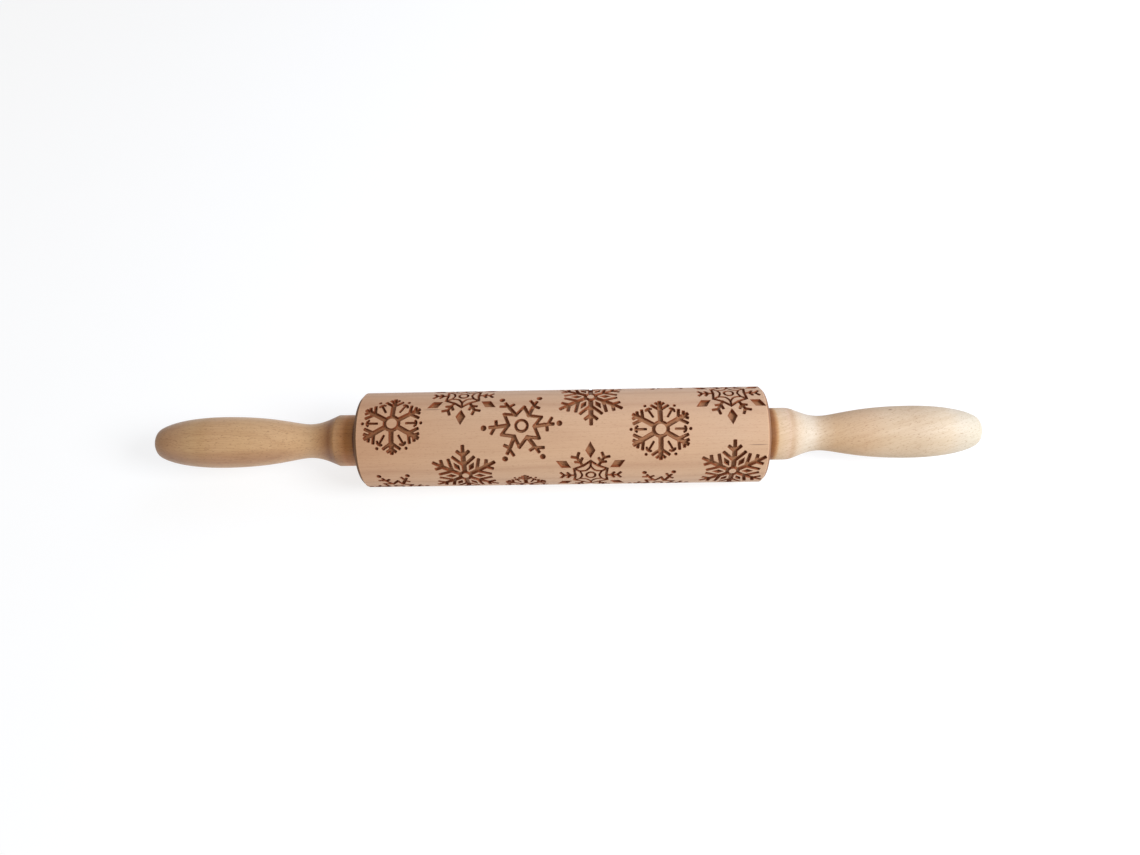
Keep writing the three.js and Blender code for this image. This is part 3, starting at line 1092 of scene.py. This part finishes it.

# %% [markdown]
# ## Laser-burnt beech
#
# The barrel is sanded and left bare, so it is matt. The laser boils the wood out of each cut. It
# leaves charred walls, which are darkest, and a red-brown floor where the beam has wiped more
# evenly. The attribute burn, kept while rolling up the strip, says where each lies. The bevels cut
# across the fibres and are darker as end grain. They also carry painted shade, darkest on the
# left rim, which faces away from the key light, with a painted highlight line at its inner edge.
# The wood and the char are darker towards the ends as painted shade, and two hairline cracks run
# with the grain.

# %% Tones of the barrel
# painted shade and highlight: the left bevel is darkened as end grain and as painted shade, a
# painted highlight line follows at 1.75 mm, and the wood darkens a little towards the end as painted
# shade
BARREL_LEFT_SHADE_AND_END_GRAIN = [  # distances in millimetres from the left end
    (0, "#c8b8aa"), (0.2, "#a89888"), (1.4, "#a89888"), (1.75, "#fff6ec"), (2.2, "#faf1ea"),
    (22, "#fdf7f2"), (50, "#ffffff"),
]
# painted shade: the right bevel is darkened, partly as end grain and partly as painted shade, and
# the wood is tinted towards the end
BARREL_RIGHT_SHADE_AND_END_GRAIN = [
    (0, "#c8b8aa"), (0.3, "#917762"), (0.9, "#cdb9a8"), (1.5, "#fbfbfa"), (18, "#f9fbfd"),
    (45, "#ffffff"),
]
CHAR_LEFT_SHADE_TONES = [  # painted shade: the char darkens towards the left end, away from the key light
    (0, "#ebe6e3"), (50, "#f3f0ee"), (95, "#ffffff"), (187, "#fdfdfd"),
]
RIM_SHINE = [(0, "#6a6a6a"), (1.4, "#6a6a6a"), (1.75, "#ffffff"), (50, "#ffffff")]
ASH_SHADES = (0.82, 1.12)  # of the darkest and the lightest fibres on the burnt floors
BARREL_CRACKS = [(-58.0, 94.5, 5.0), (87.5, 46.0, 5.0)]  # middle, bearing and half length
CRACK_MM = 0.3  # half width, drawn wider than the real hairline so that it can show
BARE_GLOSS = (0.5, 0.06)  # specular level and sheen
CHAR_GLOSS = (0.15, 0.0)  # char is porous, so it neither shines nor has a nap of fibres
print(len(BARREL_CRACKS), "cracks, drawn", 2 * CRACK_MM, "mm wide")

# %% [markdown]
# ## From bare wood to char
#
# The bare board and the char are worked out apart, and the attribute burn mixes them: the scorch
# fades in between bare wood and the lip of a cut. The tones of the bevels, which carry painted
# shade and a painted highlight line, and the cracks lie over both. Gloss and nap follow the same
# mix as the colour, or the char would shine like the wood.

# %% Finish of the barrel
engraved_beech, tree = new_material("beech_sanded_laser_burnt")
grain = beech_grain(tree, pith_mm=(0.0, 32.0, -51.0), ring_mm=2.9, lean_degrees=(0.5, 0.5))
bare = beech_colour(
    tree, grain, pale="#c4a182", warm="#b99373", late="#a47b5e", fleck="#946949",
    strengths=(0.4, 0.25, 0.3),
)

burnt = add_node(
    tree, "ShaderNodeAttribute", attribute_name="burn", attribute_type="GEOMETRY",
).outputs["Fac"]
char = add_node(
    tree, "ShaderNodeValToRGB", {"Fac": burnt},
    stops=[
        (0.0, linear("#95694c")), (LIP, linear("#8c5c42")),
        (0.75, linear("#864223")), (1.0, linear("#9a6b4b")),
    ],
).outputs["Color"]
ashen = add_node(
    tree, "ShaderNodeMapRange",
    {"Value": grain[1], "From Min": NOISE_RANGE[0], "From Max": NOISE_RANGE[1],
     "To Min": ASH_SHADES[0], "To Max": ASH_SHADES[1]},
).outputs["Result"]
streaked = add_node(
    tree, "ShaderNodeVectorMath", {0: char, "Scale": ashen}, operation="SCALE",
).outputs["Vector"]
# painted shade: the char darkens towards the left end
streaked = toned(tree, streaked, -BARREL_HALF, hand=1, ragged_mm=0.0, stops=CHAR_LEFT_SHADE_TONES)
scorch = add_node(
    tree, "ShaderNodeMapRange",
    {"Value": burnt, "From Min": 0.0, "From Max": LIP}, interpolation_type="SMOOTHSTEP",
).outputs["Result"]
shown = add_node(
    tree, "ShaderNodeMix", {MIX_FACTOR: scorch, MIX_FIRST: bare, MIX_SECOND: streaked},
    data_type="RGBA",
).outputs[MIX_RESULT]
# the bevels' tones: end grain, painted shade and a painted highlight line
shown = toned(tree, shown, -BARREL_HALF, hand=1, ragged_mm=0.0, stops=BARREL_LEFT_SHADE_AND_END_GRAIN)
shown = toned(tree, shown, BARREL_HALF, hand=-1, ragged_mm=0.0, stops=BARREL_RIGHT_SHADE_AND_END_GRAIN)
for station, bearing, half_length in BARREL_CRACKS:
    centre = on_skin(station, BARREL_RADIUS, math.radians(bearing))
    slit = (half_length, CRACK_MM, CRACK_MM)
    shown = marked(tree, shown, centre, slit, shade="#5c4030", strength=0.6)
specular, sheen = [
    add_node(
        tree, "ShaderNodeMapRange", {"Value": scorch, "To Min": on_bare, "To Max": on_char},
    ).outputs["Result"]
    for on_bare, on_char in zip(BARE_GLOSS, CHAR_GLOSS)
]
specular = toned(tree, specular, -BARREL_HALF, hand=1, ragged_mm=0.0, stops=RIM_SHINE)
wood_surface(tree, shown, grain, roughness=0.6, coat=0.0, specular=specular, sheen=sheen)
print(engraved_beech.name, len(tree.nodes), "nodes")

# %% [markdown]
# ## Turned and oiled beech
#
# The handles come from other boards than the barrel, and from two different ones: the left is
# golden and straight-grained, the right nearly cream, with grain that runs out of it at a slant
# and so shows as flames. Both were turned, sanded and oiled. The golden one keeps the oil's soft
# shine, and on the cream one it has dried nearly matt. Their tints by station carry painted light:
# painted shadow of the barrel beside it, painted shade in the cove and towards the golden one's
# tip, and painted highlight at the neck and at the cream one's tip. Two long, soft marks darken
# the golden one towards its underside as painted shade, and the cream one has a dark pin knot.

# %% Finish of the handles
# painted light: darker beside the barrel as painted shadow of the barrel, darker in the cove as
# painted shade, paler at the neck as painted highlight, and darker towards the tip as painted shade
GOLDEN_SHADE_AND_HIGHLIGHT_TONES = [  # distances in millimetres from the face of the collar
    (1.9, "#613e24"), (2.3, "#98724f"), (2.7, "#e6be7f"), (4.3, "#edc484"), (5.8, "#efc280"),
    (7.5, "#fedcb6"), (9, "#f3dcbf"), (11, "#eadbcb"), (11.9, "#d4be9f"), (14.2, "#b59063"),
    (17, "#e1cab0"), (20, "#f5eadb"), (24, "#fffefb"), (40, "#ffffff"), (56, "#fdfbf6"),
    (68, "#fbf7f2"), (74, "#f4efe3"), (80, "#f1eee5"), (87, "#e7ded7"), (95, "#d9cabc"),
]
# painted shade: two long marks darken the golden handle towards its underside, so that its belly
# reads as round
GOLDEN_UNDERSIDE_SHADE = [(18.0, 5.3, 0.4), (-8.0, 10.0, 0.47)]  # bearing, half width and strength
UNDERSIDE_SHADE_STATION = -158.0
UNDERSIDE_SHADE_HALF_LENGTH = 75.0
# painted light: darker beside the barrel as painted shadow of the barrel, darker at the collar's
# crest as painted shade, and nearly white and cool at the neck and the tip as painted highlight
CREAM_SHADE_AND_HIGHLIGHT_TONES = [
    (1.5, "#936128"), (2.2, "#a56f31"), (2.8, "#a77238"), (3.5, "#cc9f70"), (4.3, "#ecc99e"),
    (5, "#fff2e3"), (8, "#fff3eb"), (9, "#fff3eb"), (10, "#fcede8"), (11, "#ead8ca"),
    (12, "#e5d4c7"), (14, "#f2ecea"), (18, "#f7f9ff"), (21, "#f8f9ff"), (26, "#ede1d6"),
    (32, "#ebd5be"), (45, "#efdbc9"), (56, "#f1e6dc"), (68, "#ebe1d8"), (82, "#f4f1ee"),
    (88, "#f2f6fc"), (95, "#f0f8ff"),
]
PIN_KNOT = (152.0, 11.9, 117.0)  # station, radius and bearing
PIN_KNOT_MM = (1.2, 0.5, 0.5)  # half sizes

golden_beech, tree = new_material("beech_turned_oiled_golden")
grain = beech_grain(tree, pith_mm=(310.0, 45.0, -30.0), ring_mm=2.4, lean_degrees=(0.6, 0.8))
colour = beech_colour(
    tree, grain, pale="#cba77e", warm="#c0986f", late="#a57a52", fleck="#8b643d",
    strengths=(0.2, 0.5, 0.6),
)
# painted shade towards the underside of the golden handle
for bearing, half_width, strength in GOLDEN_UNDERSIDE_SHADE:
    centre = on_skin(UNDERSIDE_SHADE_STATION, BELLY[1], math.radians(bearing))
    underside_patch = (UNDERSIDE_SHADE_HALF_LENGTH, half_width, half_width)
    colour = marked(tree, colour, centre, underside_patch, "#d4bfb1", strength, blend="MULTIPLY")
# tints the golden handle by station with painted shadow, shade and highlight
colour = toned(tree, colour, -COLLAR_FACE, hand=-1, ragged_mm=0.5, stops=GOLDEN_SHADE_AND_HIGHLIGHT_TONES)
wood_surface(tree, colour, grain, roughness=0.45, coat=0.1, sheen=0.06)

cream_beech, tree = new_material("beech_turned_oiled_cream")
grain = beech_grain(tree, pith_mm=(-420.0, 60.0, 38.0), ring_mm=2.2, lean_degrees=(9.8, -15.2))
colour = beech_colour(
    tree, grain, pale="#cfc1ad", warm="#c5b195", late="#ae9677", fleck="#9c8060",
    strengths=(0.22, 0.35, 0.6),
)
# tints the cream handle by station with painted shadow, shade and highlight
colour = toned(tree, colour, COLLAR_FACE, hand=1, ragged_mm=0.7, stops=CREAM_SHADE_AND_HIGHLIGHT_TONES)
centre = on_skin(PIN_KNOT[0], PIN_KNOT[1], math.radians(PIN_KNOT[2]))
colour = marked(tree, colour, centre, PIN_KNOT_MM, shade="#6b4a30", strength=0.8)
wood_surface(tree, colour, grain, roughness=0.6, coat=0.0)
print(golden_beech.name, cream_beech.name)

# %% [markdown]
# ## Steel
#
# The axle is bright drawn steel and the washers are zinc-plated pressings. Both reflect softly,
# because fine marks from drawing and pressing break up their gloss.

# %% Finish of the axle and the washers
MARK_MM = 0.25  # size of a mark, coarser than the real 0.05 mm so that it can show
MARK_DEPTH_MM = 0.01


def steel(name, hex_colour, roughness):
    """Metal with fine marks in its gloss and relief."""
    material, tree = new_material(name)
    place = add_node(tree, "ShaderNodeTexCoord").outputs["Object"]
    marks = add_node(
        tree, "ShaderNodeTexNoise", {"Vector": place, "Scale": 1 / (MARK_MM * MM), "Detail": 2.0},
    ).outputs["Fac"]
    gloss = add_node(
        tree, "ShaderNodeMapRange",
        {"Value": marks, "To Min": roughness - 0.08, "To Max": roughness + 0.12},
    ).outputs["Result"]
    relief = add_node(
        tree, "ShaderNodeBump", {"Strength": 0.15, "Distance": MARK_DEPTH_MM * MM, "Height": marks},
    ).outputs["Normal"]
    shader = add_node(
        tree, "ShaderNodeBsdfPrincipled",
        {"Base Color": linear(hex_colour), "Metallic": 1.0, "Roughness": gloss, "Normal": relief},
    )
    add_node(tree, "ShaderNodeOutputMaterial", {"Surface": shader.outputs["BSDF"]})
    return material


drawn_steel = steel("steel_bright_drawn", "#c2c4c6", roughness=0.3)
zinc_steel = steel("steel_pressed_zinc_plated", "#b3b8bd", roughness=0.38)
print(drawn_steel.name, zinc_steel.name)

# %% [markdown]
# ## Nylon
#
# The bushes are natural nylon, moulded and slightly waxy. It looks milky because light goes about a
# millimetre into it and comes out again beside where it went in, which a little subsurface
# scattering gives. A faint cloudiness keeps it from looking like paint.

# %% Finish of the bushes
CLOUD_MM = 3.0
NYLON_IOR = 1.53
SCATTER_MM = 1.0

nylon, tree = new_material("nylon_moulded_natural")
place = add_node(tree, "ShaderNodeTexCoord").outputs["Object"]
cloud = add_node(
    tree, "ShaderNodeTexNoise", {"Vector": place, "Scale": 1 / (CLOUD_MM * MM), "Detail": 2.0},
).outputs["Fac"]
milky = add_node(
    tree, "ShaderNodeMix",
    {MIX_FACTOR: cloud, MIX_FIRST: linear("#efece2"), MIX_SECOND: linear("#e2ddcf")},
    data_type="RGBA",
).outputs[MIX_RESULT]
waxy = add_node(
    tree, "ShaderNodeMapRange", {"Value": cloud, "To Min": 0.38, "To Max": 0.5},
).outputs["Result"]
shader = add_node(
    tree, "ShaderNodeBsdfPrincipled",
    {"Base Color": milky, "Roughness": waxy, "IOR": NYLON_IOR,
     "Subsurface Weight": 0.15, "Subsurface Scale": SCATTER_MM * MM},
)
add_node(tree, "ShaderNodeOutputMaterial", {"Surface": shader.outputs["BSDF"]})
print(nylon.name)

# %% [markdown]
# ## Table top
#
# The pin lies on opal acrylic that is lit from below, as is usual for goods that are to stand on
# white. A white floor without its own light would be greyed by the pin's shadow, and the
# photograph has hardly any.

# %% Stage
FLOOR_HALF_MM = 3000.0
FLOOR_LEVEL_MM = -BARREL_RADIUS
MOTTLE_MM = 40.0
TABLE_GLOW = 0.75

floor_corners = [
    (x * FLOOR_HALF_MM, y * FLOOR_HALF_MM, FLOOR_LEVEL_MM)
    for x, y in ((-1, -1), (1, -1), (1, 1), (-1, 1))
]
table_top = make_piece("table_top", floor_corners, [[0, 1, 2, 3]])
pale_top, tree = new_material("table_opal_acrylic_lit")
place = add_node(tree, "ShaderNodeTexCoord").outputs["Object"]
mottle = add_node(
    tree, "ShaderNodeTexNoise", {"Vector": place, "Scale": 1 / (MOTTLE_MM * MM), "Detail": 2.0},
).outputs["Fac"]
opal = add_node(
    tree, "ShaderNodeMix",
    {MIX_FACTOR: mottle, MIX_FIRST: linear("#8e8f90"), MIX_SECOND: linear("#8c8d8e")},
    data_type="RGBA",
).outputs[MIX_RESULT]
shader = add_node(
    tree, "ShaderNodeBsdfPrincipled",
    {"Base Color": opal, "Roughness": 0.7, "Specular IOR Level": 0.2,
     "Emission Color": linear("#ffffff"), "Emission Strength": TABLE_GLOW},
)
add_node(tree, "ShaderNodeOutputMaterial", {"Surface": shader.outputs["BSDF"]})
table_top.data.materials.append(pale_top)
print(pale_top.name, "at", FLOOR_LEVEL_MM, "mm")

# %% [markdown]
# ## Light
#
# A broad softbox at the camera's right models the round, a weak, cool one behind lights the top
# edge, and an even white room fills the rest. A small hard lamp would show the grain's relief
# more, but it would also throw a dark shadow.

# %% Softboxes and room
ROOM_GLOW = 0.42


def soft_light(name, stand_mm, size_mm, watts, hex_colour):
    """A square light that faces the middle of the pin."""
    lamp_data = bpy.data.lights.new(name, "AREA")
    lamp_data.size = size_mm * MM
    lamp_data.energy = watts
    lamp_data.color = linear(hex_colour)[:3]
    lamp = bpy.data.objects.new(name, lamp_data)
    bpy.context.scene.collection.objects.link(lamp)
    lamp.location = Vector(stand_mm) * MM
    lamp.rotation_euler = (-lamp.location).to_track_quat("-Z", "Y").to_euler()


soft_light("key_softbox", (620, -260, 535), size_mm=340, watts=8.8, hex_colour="#f8fbff")
soft_light("back_softbox", (300, 500, 450), size_mm=500, watts=1.76, hex_colour="#c4d8ff")

room = bpy.data.worlds.new("white_room")
bpy.context.scene.world = room
room.use_nodes = True
room_light = room.node_tree.nodes["Background"]
room_light.inputs["Color"].default_value = linear("#fffaf5")
room_light.inputs["Strength"].default_value = ROOM_GLOW
bpy.context.scene.view_settings.view_transform = "Standard"
print("lights:", ", ".join(lamp.name for lamp in bpy.data.lights), "and", room.name)

# %% [markdown]
# ## Dress the imported model
#
# Each fine piece now takes its finish, stands in for its imported solid and moves with that solid's
# body: the bushes turn with the barrel, and all the rest stays with the handles.

# %% Finishes and bodies
dressed = [
    (barrel, engraved_beech, "barrel", "barrel", "barrel_beech"),
    (handles["left"], golden_beech, "left_handle", "handle_frame", "handle_beech"),
    (handles["right"], cream_beech, "right_handle", "handle_frame", "handle_beech"),
    (axle, drawn_steel, "axle_rod", "handle_frame", "axle_steel"),
]
for name in ("left", "right"):
    dressed.append((bushes[name], nylon, f"{name}_bush", "barrel", "bush_nylon"))
    dressed.append((washers[name], zinc_steel, f"{name}_washer", "handle_frame", "washer_steel"))
for piece, material, node, body, slot in dressed:
    piece.data.materials.append(material)
    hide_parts(node)
    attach(piece, body)
    print(piece.name, "stands for", node, "and rides on", body)
